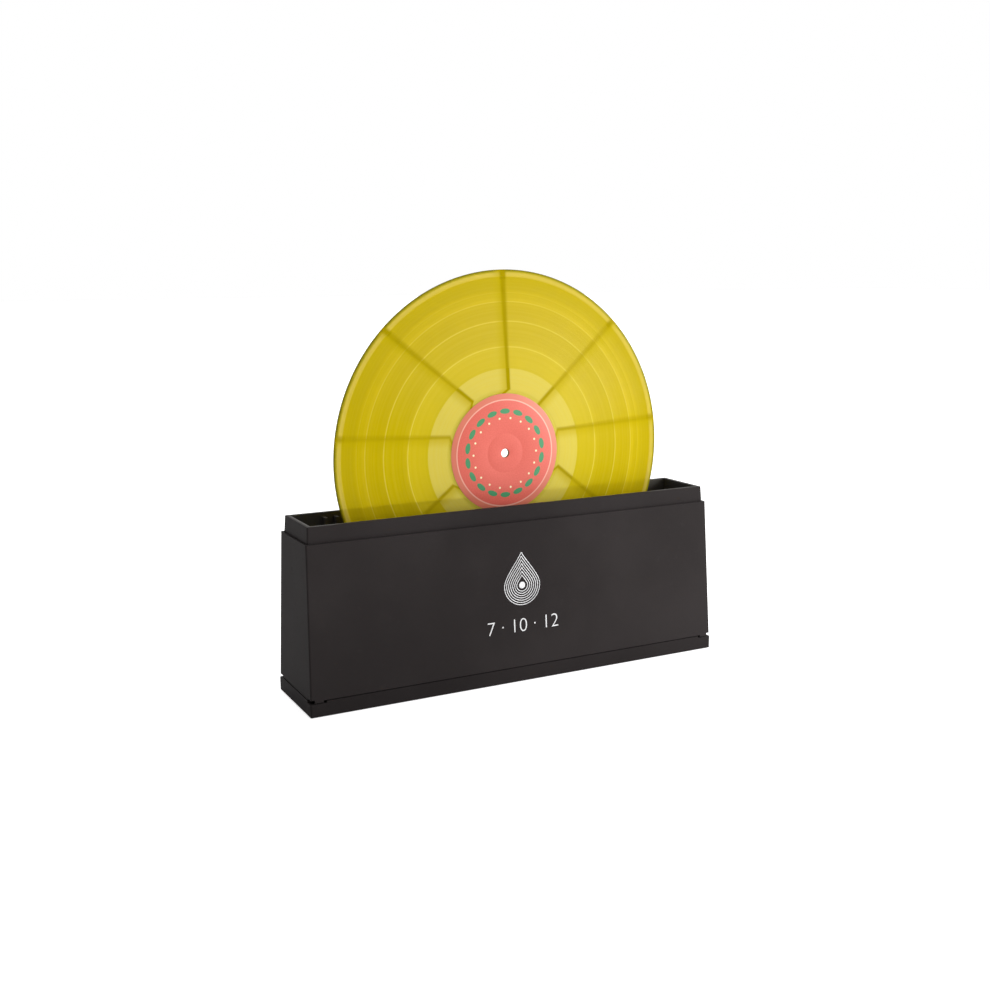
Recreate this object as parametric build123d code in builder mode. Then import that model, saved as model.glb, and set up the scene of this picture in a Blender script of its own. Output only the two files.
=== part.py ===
from build123d import *
from math import sqrt
import os

# Hand-turned record washer.
# A tapered housing stands on a shallow tray and holds a narrow basin for the cleaning fluid. The record
# stands upright in the basin on two grooved rollers, between two brushes, with its label above the
# fluid, and is turned by hand. The rollers lift out and drop into other slots for smaller records, and
# the brushes lift out of their guides.
# X runs along the housing, Y from front to rear and Z up. The origin is on the table, under the middle.
# Sizes are in millimetres. They grow outwards from the record: its radius sets the basin, the basin sets
# the housing, and the housing sets the tray.

# ---- Driving dimensions -------------------------------------------------------------------------

# Record
record_radius = 150.8
record_label_radius = 50.0  # the fluid stays below this circle
bead_thickness = 2.2        # thicker rim that keeps stacked records' grooves apart
bead_width = 6.5
playing_thickness = 1.6
land_thickness = 2.1        # raised middle that carries the labels
land_margin = 0.8           # land beyond the labels' edge
thickness_slope = 1.3       # width of the slope between two thicknesses
spindle_hole_radius = 3.62
label_hole_radius = 3.8
label_thickness = 0.15
label_edge = 0.2            # bare land between a label and its circle
record_edge_round = 0.4

# Rollers
roller_inset = 15.8         # axles stand in from the ends of the circle they carry the record on
tread_gap = 0.3             # between the record's edge and the tyre
tyre_radius = 11.7
tyre_depth = 3.2
tyre_width = 3.6
groove_mouth = 12.0         # width of the V between the cheeks' rims
cheek_radius = 16.0
cheek_rim = 3.0
hub_radius = 7.0
roller_length = 33.0
axle_radius = 3.05
axle_length = 43.0
axle_chamfer = 0.6
press_gap = 0.05            # between pieces pushed together
pocket_count = 6            # cored-out pockets in each cheek
pocket_radius = 2.5
pocket_depth = 4.0
pocket_circle_radius = 11.4

# Slots for the rollers of smaller records
ten_inch_radius = 125.4
ten_inch_label_radius = 50.0
ten_inch_half_spacing = 105.0
seven_inch_radius = 87.3
seven_inch_label_radius = 46.0
seven_inch_half_spacing = 60.0

# Forks that hold the axles
fork_gap = 0.8              # from a roller's end to the fork
fork_rib = 2.8
fork_drop = 3.5             # fork's top below the rim
slot_mouth = 7.0
seat_clearance = 0.05
axle_end_gap = 1.1          # from an axle's end to the basin's wall

# Basin
tub_wall = 1.8
floor_clearance = 12.0      # under the record's edge
shelf_clearance = 2.2       # under the outer rollers
end_room = 15.1             # beyond the outer rollers
end_draft = 0.8
side_draft = 2.8
tub_corner = 4.8
floor_blend = 12.0          # where the curved floor meets the shelves
mouth_corner = 0.8
centre_above_rim = 40.0     # record's centre above the basin's rim
tub_shoulder = 1.3          # step that rests on the housing's ledge
tub_fit = 0.2               # clearance between basin and housing
tub_stand = 19.9            # between the tray's floor and the basin

# Housing
housing_wall = 2.2
housing_corner = 1.3
inner_corner = 1.0
collar_height = 13.1        # collar round the mouth, above the ledge
collar_wall = 1.6
collar_lean = 0.8
ledge_end = 1.85            # width of the ledge at the ends
ledge_side = 2.35           # and along the sides
groove_width = 0.5          # shadow groove at the collar's foot
groove_depth = 0.6
end_lean = 2.7              # each end leans in by this much up to the ledge
side_lean = 7.65            # and each long side by this much
collar_round = 0.4

# Tray under the housing
tray_height = 12.1
tray_wall = 3.2
tray_floor = 2.2
tray_corner = 1.5
tray_chamfer = 0.3
seam = 0.6                  # shadow line between tray and housing
seam_setback = 0.4          # the housing stands this far in from the tray's faces

# Half-lap joint between housing and tray
lap_skin = 1.2              # housing wall left outside the lap
lap_height = 3.4
lap_fit = 0.15

# Corner notches with locating tabs
notch_length = 13.2         # tray cut away from each corner, along the long sides
notch_width = 7.5           # and along the ends
notch_drop = 1.5
corner_gap = 3.4            # opening at the very corner
corner_rise = 1.0           # how far the housing is cut back over it
tab_gap = 2.2               # dark slot between the tab and the notch's end

# Screws, posts and bosses
screw_radius = 1.45
screw_hole_radius = 1.7
screw_head_radius = 2.9
screw_head_height = 2.0
screw_length = 16.0
screw_head_round = 0.6
screw_recess = 5.5          # head's seat above the tray's underside
recess_radius = 3.4
drive_depth = 1.1
drive_width = 0.9
drive_length = 3.4
post_radius = 5.0
post_height = 14.0          # above the tray's underside
boss_radius = 4.2
boss_height = 30.0
boss_web = 1.8
boss_pull_gap = 0.2         # closes when the basin's screws are tightened
corner_screw_inset = 21.7   # from the tray's ends
corner_screw_setback = 14.7 # from its long sides
tub_screw_x = 62.0
tub_screw_y = 12.0

# Rubber feet
foot_stand = 0.5            # the feet lift the tray this far off the table
foot_radius = 8.0
foot_height = 2.6
foot_round = 0.5
foot_fit = 0.2
foot_pad = 1.6              # thickening of the tray's floor over each foot
foot_pad_margin = 1.6
foot_inset = 43.0           # from the tray's ends
foot_setback = 14.0         # from its long sides

# Stiffening ribs
shell_rib = 1.6
shell_rib_pitch = 73.0
shell_rib_count = 4
shell_rib_low = 60.0
shell_rib_gap = 0.5         # to the basin
tray_rib = 1.6
tray_rib_height = 4.5
tray_rib_pitch = 41.0
tray_rib_count = 8

# Brushes
brush_gap = 0.3             # pile tips to the record's bead
pile_depth = 4.0
foam_thickness = 3.0
pad_width = 26.0
pad_height = 87.0
pad_lift = 3.0              # pad's lower edge above the holder's
pad_round = 2.0
holder_width = 30.0
holder_thickness = 3.0
holder_height = 105.5
holder_round = 7.0
holder_chamfer = 2.0
holder_rest = 36.0          # height of the stops that the holders stand on
pull_lip = 2.4
pull_lip_height = 3.0
grip_bars = 3
grip_bar_width = 20.0
grip_bar_height = 1.4
grip_bar_depth = 1.0
grip_bar_pitch = 3.2
grip_bar_drop = 5.0         # top bar below the holder's top

# Guides for the brushes
guide_wall = 2.6
guide_lip = 1.5
guide_overlap = 1.5         # how far the lips reach over the holder
guide_clearance = 0.3
guide_drop = 12.0           # guide's top below the rim

# ---- Derived places -----------------------------------------------------------------------------

# Heights
tray_base = foot_stand
tray_top = tray_base + tray_height
housing_base = tray_top + seam
record_z = tray_base + tray_floor + tub_stand + tub_wall + floor_clearance + record_radius
rim_z = record_z - centre_above_rim
ledge_z = rim_z - collar_height
label_line = record_z - record_label_radius
boss_base = tray_base + post_height
screw_seat = tray_base + screw_recess
lap_top = tray_top + lap_height

# Rollers and their slots
tread_radius = tyre_radius + tread_gap
roller_half_spacing = record_radius + tread_radius - roller_inset


def axle_height(radius, label, half_spacing):
    """Height of the axles for a record whose label just clears the fluid."""
    return label_line + label - sqrt((radius + tread_radius) ** 2 - half_spacing**2)


roller_z = axle_height(record_radius, record_label_radius, roller_half_spacing)
ten_inch_z = axle_height(ten_inch_radius, ten_inch_label_radius, ten_inch_half_spacing)
seven_inch_z = axle_height(seven_inch_radius, seven_inch_label_radius, seven_inch_half_spacing)
roller_seats = (
    (roller_half_spacing, roller_z),
    (ten_inch_half_spacing, ten_inch_z),
    (seven_inch_half_spacing, seven_inch_z),
)
seat_radius = axle_radius + seat_clearance
fork_reach = roller_length / 2 + fork_gap
fork_top = rim_z - fork_drop
shelf_z = roller_z - cheek_radius - shelf_clearance

# Lengths and widths, from the basin outwards
basin_inside = (
    2 * (roller_half_spacing + cheek_radius + end_room),
    axle_length + 2 * axle_end_gap,
)


def grown(size, margin, other=None):
    """A length and a width, moved out all round by a margin, or by one for each."""
    return (size[0] + 2 * margin, size[1] + 2 * (margin if other is None else other))


basin_outside = grown(basin_inside, tub_wall)
tub_upper = grown(basin_outside, tub_shoulder)
tub_mouth = grown(tub_upper, -tub_wall)
collar_inside = grown(tub_upper, tub_fit)
collar_top = grown(collar_inside, collar_wall)
collar_foot = grown(collar_top, collar_lean)
housing_top = grown(collar_foot, ledge_end, ledge_side)
housing_foot = grown(housing_top, end_lean, side_lean)
tray_size = grown(housing_foot, seam_setback)
tub_upper_corner = mouth_corner + tub_wall

# Insets from the tray's edges
corner_screws = grown(tray_size, -corner_screw_inset, -corner_screw_setback)
tub_screws = (2 * tub_screw_x, 2 * tub_screw_y)
foot_places = grown(tray_size, -foot_inset, -foot_setback)

# Brush stack, measured from the record's middle plane
pile_tip = bead_thickness / 2 + brush_gap
pile_root = pile_tip + pile_depth
holder_face = pile_root + foam_thickness
holder_back = holder_face + holder_thickness
holder_top = holder_rest + holder_height
pad_middle = holder_rest + pad_lift + pad_height / 2

# Planes that face outwards from the record, with their own X across and Y up
front_side = Plane.XZ
rear_side = Plane(origin=(0, 0, 0), x_dir=(-1, 0, 0), z_dir=(0, 1, 0))
sides = (("front", front_side), ("rear", rear_side))

os.makedirs("parts", exist_ok=True)


def save(piece, label):
    """Label a finished piece and write it."""
    piece.part.label = label
    export_step(piece.part, f"parts/{label}.step")


def housing_size(height):
    """Outer length and width of the housing at a height above the table."""
    lean = (ledge_z - height) / (ledge_z - housing_base)
    return grown(housing_top, end_lean * lean, side_lean * lean)


def leaning_block(low, foot, high, top, corner):
    """A block between two heights whose ends and sides lean in, with its upright corners rounded."""
    with BuildPart() as block:
        with BuildSketch(Plane.XZ):
            with BuildLine():
                Polyline(
                    (-foot[0] / 2, low),
                    (foot[0] / 2, low),
                    (top[0] / 2, high),
                    (-top[0] / 2, high),
                    close=True,
                )
            make_face()
        extrude(amount=foot[1] / 2, both=True)
        with BuildSketch(Plane.YZ):
            with BuildLine():
                Polyline(
                    (-foot[1] / 2, low),
                    (foot[1] / 2, low),
                    (top[1] / 2, high),
                    (-top[1] / 2, high),
                    close=True,
                )
            make_face()
        extrude(amount=foot[0] / 2, both=True, mode=Mode.INTERSECT)
        fillet(block.edges().filter_by(Plane.XY, reverse=True), radius=corner)
    return block.part


# ---- Basin --------------------------------------------------------------------------------------


def basin_form(inset, top):
    """The basin below its mouth as a solid, drawn in by inset all round.

    Seen from the front it has a shelf at each end and a floor that follows the record's edge. Seen from
    an end it narrows towards the floor, so that the moulding leaves its core.
    """
    half_length = basin_outside[0] / 2 - inset
    half_width = basin_outside[1] / 2 - inset
    shelf = shelf_z - tub_wall + inset
    radius = record_radius + floor_clearance + tub_wall - inset
    shelf_edge = sqrt(radius**2 - (record_z - shelf) ** 2)
    lowest = record_z - radius
    with BuildPart() as form:
        with BuildSketch(Plane.XZ) as outline:
            with BuildLine():
                Polyline(
                    (shelf_edge, shelf),
                    (half_length - end_draft, shelf),
                    (half_length, top),
                    (-half_length, top),
                    (-half_length + end_draft, shelf),
                    (-shelf_edge, shelf),
                )
                ThreePointArc((-shelf_edge, shelf), (0, lowest), (shelf_edge, shelf))
            make_face()
            on_shelf = outline.vertices().group_by(Axis.Y)[0]
            inner_pair = on_shelf.sort_by(lambda vertex: abs(vertex.X))[:2]
            outer_pair = on_shelf.sort_by(lambda vertex: abs(vertex.X))[2:]
            fillet(inner_pair, radius=floor_blend + inset)
            fillet(outer_pair, radius=tub_corner - inset)
        extrude(amount=half_width, both=True)
        with BuildSketch(Plane.YZ):
            with BuildLine():
                Polyline(
                    (-half_width, top),
                    (-half_width + side_draft, lowest),
                    (half_width - side_draft, lowest),
                    (half_width, top),
                    close=True,
                )
            make_face()
        extrude(amount=half_length, both=True, mode=Mode.INTERSECT)
        front_edges = form.faces().sort_by(Axis.Y)[0].edges()
        rear_edges = form.faces().sort_by(Axis.Y)[-1].edges()
        top_edges = form.faces().sort_by(Axis.Z)[-1].edges()
        fillet((front_edges + rear_edges) - top_edges, radius=tub_corner - inset)
    return form.part


with BuildPart() as roller_forks:
    with BuildSketch(Plane.XZ.offset(-fork_reach)):
        for half_spacing, seat in roller_seats:
            with Locations((-half_spacing, 0), (half_spacing, 0)):
                Rectangle(
                    slot_mouth + 2 * fork_rib, fork_top, align=(Align.CENTER, Align.MIN)
                )
        for half_spacing, seat in roller_seats:
            with Locations((-half_spacing, seat), (half_spacing, seat)):
                Circle(seat_radius, mode=Mode.SUBTRACT)
                Polygon(
                    (-seat_radius, 0),
                    (seat_radius, 0),
                    (slot_mouth / 2, fork_top - seat),
                    (-slot_mouth / 2, fork_top - seat),
                    align=None,
                    mode=Mode.SUBTRACT,
                )
    extrude(amount=-tub_mouth[1] / 2)
    mirror(about=Plane.XZ)

with BuildPart() as brush_guides:
    channel_half = holder_width / 2 + guide_clearance
    lip_half = holder_width / 2 - guide_overlap
    lip_face = holder_face - guide_clearance - guide_lip
    guide_top = rim_z - guide_drop
    with BuildSketch():
        with Locations((0, lip_face)):
            with GridLocations(2 * channel_half + guide_wall, 0, 2, 1):
                Rectangle(guide_wall, tub_mouth[1] / 2, align=(Align.CENTER, Align.MIN))
        with Locations((0, lip_face), (0, holder_back + guide_clearance)):
            Rectangle(2 * channel_half, guide_lip, align=(Align.CENTER, Align.MIN))
            Rectangle(2 * lip_half, guide_lip, align=(Align.CENTER, Align.MIN), mode=Mode.SUBTRACT)
    extrude(amount=guide_top)
    with BuildSketch():
        with Locations((0, holder_face)):
            Rectangle(2 * channel_half, holder_thickness, align=(Align.CENTER, Align.MIN))
    extrude(amount=holder_rest)
    mirror(about=Plane.XZ)

with BuildPart() as basin_space:
    add(basin_form(tub_wall, ledge_z + tub_wall))
    with BuildSketch(Plane.XY.offset(ledge_z + tub_wall)):
        RectangleRounded(*tub_mouth, mouth_corner)
    extrude(amount=collar_height - tub_wall)
    add(roller_forks.part, mode=Mode.SUBTRACT)
    add(brush_guides.part, mode=Mode.SUBTRACT)

with BuildPart() as inner_tub:
    add(basin_form(0, ledge_z))
    with BuildSketch(Plane.XY.offset(ledge_z)):
        RectangleRounded(*tub_upper, tub_upper_corner)
    extrude(amount=collar_height)
    with BuildSketch(Plane.XY.offset(boss_base + boss_pull_gap)):
        with GridLocations(*tub_screws, 2, 2):
            Circle(boss_radius)
    extrude(amount=shelf_z - boss_base)
    add(basin_space.part, mode=Mode.SUBTRACT)
    with BuildSketch(Plane.XY.offset(boss_base + boss_pull_gap)):
        with GridLocations(*tub_screws, 2, 2):
            Circle(screw_radius + press_gap)
    extrude(amount=screw_length - (boss_base - screw_seat), mode=Mode.SUBTRACT)
save(inner_tub, "inner_tub")

# ---- Housing ------------------------------------------------------------------------------------

cavity_top = ledge_z - housing_wall
cavity_foot_size = grown(housing_foot, -housing_wall)
cavity_top_size = grown(housing_size(cavity_top), -housing_wall)
tab_length = notch_length - seam_setback - corner_gap - tab_gap
tab_middle = corner_gap + tab_length / 2
cavity = leaning_block(housing_base, cavity_foot_size, cavity_top, cavity_top_size, inner_corner)

# The webs and ribs stop short of the basin
with BuildPart() as tub_clearance:
    with BuildSketch(Plane.XY.offset(housing_base)):
        Rectangle(*grown(basin_outside, shell_rib_gap))
    extrude(amount=ledge_z - housing_base)

with BuildPart() as housing_inside:
    with BuildSketch(Plane.XY.offset(lap_top + lap_fit)):
        with GridLocations(*corner_screws, 2, 2):
            Rectangle(boss_web, 2 * corner_screw_setback)
            Rectangle(2 * corner_screw_inset, boss_web)
        Rectangle(*corner_screws, mode=Mode.SUBTRACT)
    extrude(amount=boss_base + boss_height - lap_top - lap_fit)
    with BuildSketch(Plane.XY.offset(boss_base)):
        with GridLocations(*corner_screws, 2, 2):
            Circle(boss_radius)
    extrude(amount=boss_height)
    with BuildSketch(Plane.XY.offset(shell_rib_low)):
        with GridLocations(shell_rib_pitch, 0, shell_rib_count, 1):
            Rectangle(shell_rib, housing_foot[1])
    extrude(amount=cavity_top - shell_rib_low)
    add(tub_clearance.part, mode=Mode.SUBTRACT)
    add(cavity, mode=Mode.INTERSECT)

with BuildPart() as outer_shell:
    add(leaning_block(housing_base, housing_foot, ledge_z, housing_top, housing_corner))
    with BuildSketch(Plane.XY.offset(ledge_z)):
        RectangleRounded(*grown(collar_foot, groove_width), housing_corner + groove_width)
    extrude(amount=-groove_depth, mode=Mode.SUBTRACT)
    add(leaning_block(ledge_z - groove_depth, collar_foot, rim_z, collar_top, housing_corner))
    fillet(outer_shell.faces().sort_by(Axis.Z)[-1].edges(), radius=collar_round)
    add(cavity, mode=Mode.SUBTRACT)
    with BuildSketch(Plane.XY.offset(cavity_top)):
        RectangleRounded(*grown(basin_outside, tub_fit), tub_corner + tub_fit)
    extrude(amount=housing_wall, mode=Mode.SUBTRACT)
    with BuildSketch(Plane.XY.offset(ledge_z)):
        RectangleRounded(*collar_inside, tub_upper_corner + tub_fit)
    extrude(amount=collar_height, mode=Mode.SUBTRACT)
    with BuildSketch(Plane.XY.offset(housing_base)):
        RectangleRounded(*grown(housing_foot, -lap_skin), inner_corner)
    extrude(amount=lap_top + lap_fit - housing_base, mode=Mode.SUBTRACT)
    add(housing_inside.part)
    with BuildSketch(Plane.XY.offset(housing_base)):
        with GridLocations(*housing_foot, 2, 2):
            Rectangle(2 * corner_gap, 2 * notch_width)
    extrude(amount=corner_rise, mode=Mode.SUBTRACT)
    with BuildSketch(Plane.XY.offset(housing_base)):
        with GridLocations(*grown(housing_foot, -tab_middle, -lap_skin / 2), 2, 2):
            Rectangle(tab_length, lap_skin)
    extrude(amount=-notch_drop)
    with BuildSketch(Plane.XY.offset(boss_base)):
        with GridLocations(*corner_screws, 2, 2):
            Circle(screw_radius + press_gap)
    extrude(amount=screw_length - (boss_base - screw_seat), mode=Mode.SUBTRACT)
save(outer_shell, "outer_shell")

# ---- Tray, feet and screws ----------------------------------------------------------------------

lip_size = grown(housing_foot, -lap_skin - lap_fit)
tray_inside = grown(tray_size, -tray_wall)
floor_top = tray_base + tray_floor
underside = Plane.XY.offset(tray_base).rotated((180, 0, 0))

with BuildPart() as base_tray:
    with BuildSketch(Plane.XY.offset(tray_base)):
        RectangleRounded(*tray_size, tray_corner)
    extrude(amount=tray_height)
    chamfer(base_tray.faces().sort_by(Axis.Z)[0].edges(), length=tray_chamfer)
    with BuildSketch(Plane.XY.offset(tray_top)):
        RectangleRounded(*lip_size, inner_corner)
    extrude(amount=lap_height)
    with BuildSketch(Plane.XY.offset(floor_top)):
        RectangleRounded(*tray_inside, inner_corner)
    extrude(amount=lap_top - floor_top, mode=Mode.SUBTRACT)
    with BuildSketch(Plane.XY.offset(floor_top)):
        with GridLocations(tray_rib_pitch, 0, tray_rib_count, 1):
            Rectangle(tray_rib, tray_inside[1])
        Rectangle(tray_inside[0], tray_rib)
    extrude(amount=tray_rib_height)
    with BuildSketch(Plane.XY.offset(floor_top)):
        with GridLocations(*foot_places, 2, 2):
            Circle(foot_radius + foot_pad_margin)
    extrude(amount=foot_pad)
    with BuildSketch(Plane.XY.offset(floor_top)):
        with GridLocations(*corner_screws, 2, 2):
            Circle(post_radius)
        with GridLocations(*tub_screws, 2, 2):
            Circle(post_radius)
    extrude(amount=boss_base - floor_top)
    with Locations(underside):
        for grid in (corner_screws, tub_screws):
            with GridLocations(*grid, 2, 2):
                CounterBoreHole(screw_hole_radius, recess_radius, screw_recess, depth=post_height)
    with BuildSketch(Plane.XY.offset(tray_base)):
        with GridLocations(*foot_places, 2, 2):
            Circle(foot_radius + foot_fit)
    extrude(amount=foot_height - foot_stand, mode=Mode.SUBTRACT)
    with BuildSketch(Plane.XY.offset(tray_top - notch_drop)):
        with GridLocations(*tray_size, 2, 2):
            Rectangle(2 * notch_length, 2 * notch_width)
    extrude(amount=notch_drop + lap_height, mode=Mode.SUBTRACT)
save(base_tray, "base_tray")

for end, along in (("left", -1), ("right", 1)):
    for side, across in (("front", -1), ("rear", 1)):
        with BuildPart() as foot:
            with BuildSketch():
                with Locations((along * foot_places[0] / 2, across * foot_places[1] / 2)):
                    Circle(foot_radius)
            extrude(amount=foot_height)
            fillet(foot.faces().sort_by(Axis.Z)[0].edges(), radius=foot_round)
        save(foot, f"{side}_{end}_foot")

for name, grid in (("shell_screws", corner_screws), ("tub_screws", tub_screws)):
    with BuildPart() as screws:
        with BuildSketch(Plane.XY.offset(screw_seat - screw_head_height)):
            with GridLocations(*grid, 2, 2):
                Circle(screw_head_radius)
        extrude(amount=screw_head_height)
        fillet(screws.faces().group_by(Axis.Z)[0].edges(), radius=screw_head_round)
        with BuildSketch(Plane.XY.offset(screw_seat)):
            with GridLocations(*grid, 2, 2):
                Circle(screw_radius)
        extrude(amount=screw_length)
        with BuildSketch(Plane.XY.offset(screw_seat - screw_head_height)):
            with GridLocations(*grid, 2, 2):
                Rectangle(drive_length, drive_width)
                Rectangle(drive_width, drive_length)
        extrude(amount=drive_depth, mode=Mode.SUBTRACT)
    save(screws, name)

# ---- Rollers ------------------------------------------------------------------------------------

groove_edge = groove_mouth / 2
rim_edge = groove_edge + cheek_rim
core_radius = tyre_radius - tyre_depth
bore_radius = axle_radius + press_gap


def cheek(x, across):
    """One of the two mouldings that clamp the tyre and form the V, to the front or the rear of it."""
    axle = Axis((x, 0, roller_z), (0, 1, 0))
    with BuildPart() as part_cheek:
        with BuildSketch(Plane.XY.offset(roller_z)):
            with BuildLine():
                Polyline(
                    (x + bore_radius, 0),
                    (x + core_radius, 0),
                    (x + core_radius, across * tyre_width / 2),
                    (x + tyre_radius, across * tyre_width / 2),
                    (x + cheek_radius, across * groove_edge),
                    (x + cheek_radius, across * rim_edge),
                    (x + hub_radius, across * rim_edge),
                    (x + hub_radius, across * roller_length / 2),
                    (x + bore_radius, across * roller_length / 2),
                    close=True,
                )
            make_face()
        revolve(axis=axle)
        with BuildSketch(Plane.XZ.offset(-across * (rim_edge - pocket_depth))):
            with Locations((x, roller_z)):
                with PolarLocations(pocket_circle_radius, pocket_count):
                    Circle(pocket_radius)
        extrude(amount=-across * pocket_depth, mode=Mode.SUBTRACT)
    return part_cheek


for end, along in (("left", -1), ("right", 1)):
    place = along * roller_half_spacing
    for side, across in (("front", -1), ("rear", 1)):
        save(cheek(place, across), f"{end}_roller_{side}_cheek")

    with BuildPart() as tyre:
        with BuildSketch(Plane.XZ.offset(-tyre_width / 2)):
            with Locations((place, roller_z)):
                Circle(tyre_radius - press_gap)
                Circle(core_radius + press_gap, mode=Mode.SUBTRACT)
        extrude(amount=tyre_width)
    save(tyre, f"{end}_roller_tyre")

    with BuildPart() as axle:
        with BuildSketch(Plane.XZ.offset(-axle_length / 2)):
            with Locations((place, roller_z)):
                Circle(axle_radius)
        extrude(amount=axle_length)
        chamfer(axle.faces().filter_by(Axis.Y).edges(), length=axle_chamfer)
    save(axle, f"{end}_roller_axle")

# ---- Brushes ------------------------------------------------------------------------------------

for name, side in sides:
    with BuildPart() as holder:
        with BuildSketch(side.offset(holder_face)) as plate:
            with Locations((0, holder_rest)):
                Rectangle(holder_width, holder_height, align=(Align.CENTER, Align.MIN))
            fillet(plate.vertices().group_by(Axis.Z)[-1], radius=holder_round)
            chamfer(plate.vertices().group_by(Axis.Z)[0], length=holder_chamfer)
        extrude(amount=holder_thickness)
        with BuildSketch(side.offset(holder_back)):
            with Locations((0, holder_top)):
                Rectangle(
                    holder_width - 2 * holder_round,
                    pull_lip_height,
                    align=(Align.CENTER, Align.MAX),
                )
        extrude(amount=pull_lip)
        with BuildSketch(side.offset(holder_face - grip_bar_depth)):
            with Locations((0, holder_top - grip_bar_drop - grip_bar_pitch)):
                with GridLocations(0, grip_bar_pitch, 1, grip_bars):
                    Rectangle(grip_bar_width, grip_bar_height)
        extrude(amount=grip_bar_depth)
    save(holder, f"{name}_brush_holder")

    for layer, plane, depth in (
        ("foam", side.offset(pile_root), foam_thickness),
        ("pile", side.offset(pile_tip), pile_depth),
    ):
        with BuildPart() as pad:
            with BuildSketch(plane):
                with Locations((0, pad_middle)):
                    RectangleRounded(pad_width, pad_height, pad_round)
            extrude(amount=depth)
        save(pad, f"{name}_brush_{layer}")

# ---- Record -------------------------------------------------------------------------------------

land_radius = record_label_radius + land_margin
bead_start = record_radius - bead_width

with BuildPart() as record_disc:
    with BuildSketch(Plane.XY.offset(record_z)):
        with BuildLine():
            Polyline(
                (spindle_hole_radius, 0),
                (spindle_hole_radius, land_thickness / 2),
                (land_radius, land_thickness / 2),
                (land_radius + thickness_slope, playing_thickness / 2),
                (bead_start, playing_thickness / 2),
                (bead_start + thickness_slope, bead_thickness / 2),
                (record_radius, bead_thickness / 2),
                (record_radius, 0),
                close=True,
            )
        make_face()
        mirror(about=Plane.XZ)
    revolve(axis=Axis((0, 0, record_z), (0, 1, 0)))
    record_rim = record_disc.edges().filter_by(GeomType.CIRCLE).group_by(SortBy.RADIUS)[-1]
    fillet(record_rim, radius=record_edge_round)
save(record_disc, "record_disc")

for name, side in sides:
    with BuildPart() as label:
        with BuildSketch(side.offset(land_thickness / 2)):
            with Locations((0, record_z)):
                Circle(record_label_radius - label_edge)
                Circle(label_hole_radius, mode=Mode.SUBTRACT)
        extrude(amount=label_thickness)
    save(label, f"{name}_label")
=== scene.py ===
from math import asin, cos, pi, radians, sin

import bmesh
import bpy
from mathutils import Matrix, Vector


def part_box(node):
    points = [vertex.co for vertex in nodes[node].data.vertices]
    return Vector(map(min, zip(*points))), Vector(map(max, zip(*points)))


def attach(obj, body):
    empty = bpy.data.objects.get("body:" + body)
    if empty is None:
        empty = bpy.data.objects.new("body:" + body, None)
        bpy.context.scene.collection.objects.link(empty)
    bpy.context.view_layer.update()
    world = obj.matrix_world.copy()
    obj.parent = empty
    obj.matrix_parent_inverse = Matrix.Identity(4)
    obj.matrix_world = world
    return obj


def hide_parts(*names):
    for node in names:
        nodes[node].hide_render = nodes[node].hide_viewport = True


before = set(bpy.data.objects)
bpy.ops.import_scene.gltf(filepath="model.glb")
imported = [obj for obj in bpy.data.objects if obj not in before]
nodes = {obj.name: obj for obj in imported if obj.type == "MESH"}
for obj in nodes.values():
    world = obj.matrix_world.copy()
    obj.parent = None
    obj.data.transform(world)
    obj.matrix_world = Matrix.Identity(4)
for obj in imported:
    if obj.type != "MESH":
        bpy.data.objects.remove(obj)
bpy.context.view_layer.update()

# ---- Camera -------------------------------------------------------------------------------------
# It stands in front of the machine, to the left of its middle, a little higher than the record's
# centre, and looks slightly down, as a person seated at the table would.

camera_turn = Matrix.Rotation(-0.4775, 4, "Z")
camera_tilt = Matrix.Rotation(pi / 2 - 0.1817, 4, "X")
camera_roll = Matrix.Rotation(-0.0058, 4, "Z")
camera_place = Matrix.Translation((-0.46711, -0.88625, 0.33612))

bpy.ops.object.camera_add()
camera = bpy.context.object
camera.matrix_world = camera_place @ camera_turn @ camera_tilt @ camera_roll
camera.data.sensor_width = 36
camera.data.lens = 44.051
camera.data.shift_x = -0.0007
camera.data.shift_y = -0.0007
camera.data.clip_end = 50
bpy.context.scene.camera = camera

# ---- Tray ---------------------------------------------------------------------------------------
# The shallow tray under the housing, injection moulded in charcoal ABS with a fine spark-eroded
# texture. It takes the screws from below, and its lip laps inside the housing's wall.


class Value:
    """A shader socket in an expression: each operation adds one Math node beside it."""

    def __init__(self, shading, socket):
        self.shading = shading
        self.socket = socket

    def math(self, operation, *others):
        inputs = dict(enumerate((self, *others)))
        return self.shading.node("ShaderNodeMath", {"operation": operation}, inputs)

    def __add__(self, other):
        return self.math("ADD", other)

    def __sub__(self, other):
        return self.math("SUBTRACT", other)

    def __rsub__(self, other):
        return self.math("MULTIPLY", -1) + other

    def __mul__(self, other):
        return self.math("MULTIPLY", other)

    def __truediv__(self, other):
        return self.math("DIVIDE", other)

    def __gt__(self, other):
        return self.math("GREATER_THAN", other)

    def __lt__(self, other):
        return self.math("LESS_THAN", other)

    def __abs__(self):
        return self.math("ABSOLUTE")

    __radd__ = __add__
    __rmul__ = __mul__

    def rises(self, start, end):
        """0 at start and 1 at end, or the other way round if end is lower, with a soft change."""
        settings = {"interpolation_type": "SMOOTHSTEP"}
        return self.shading.node("ShaderNodeMapRange", settings, {0: self, 1: start, 2: end})


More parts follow.
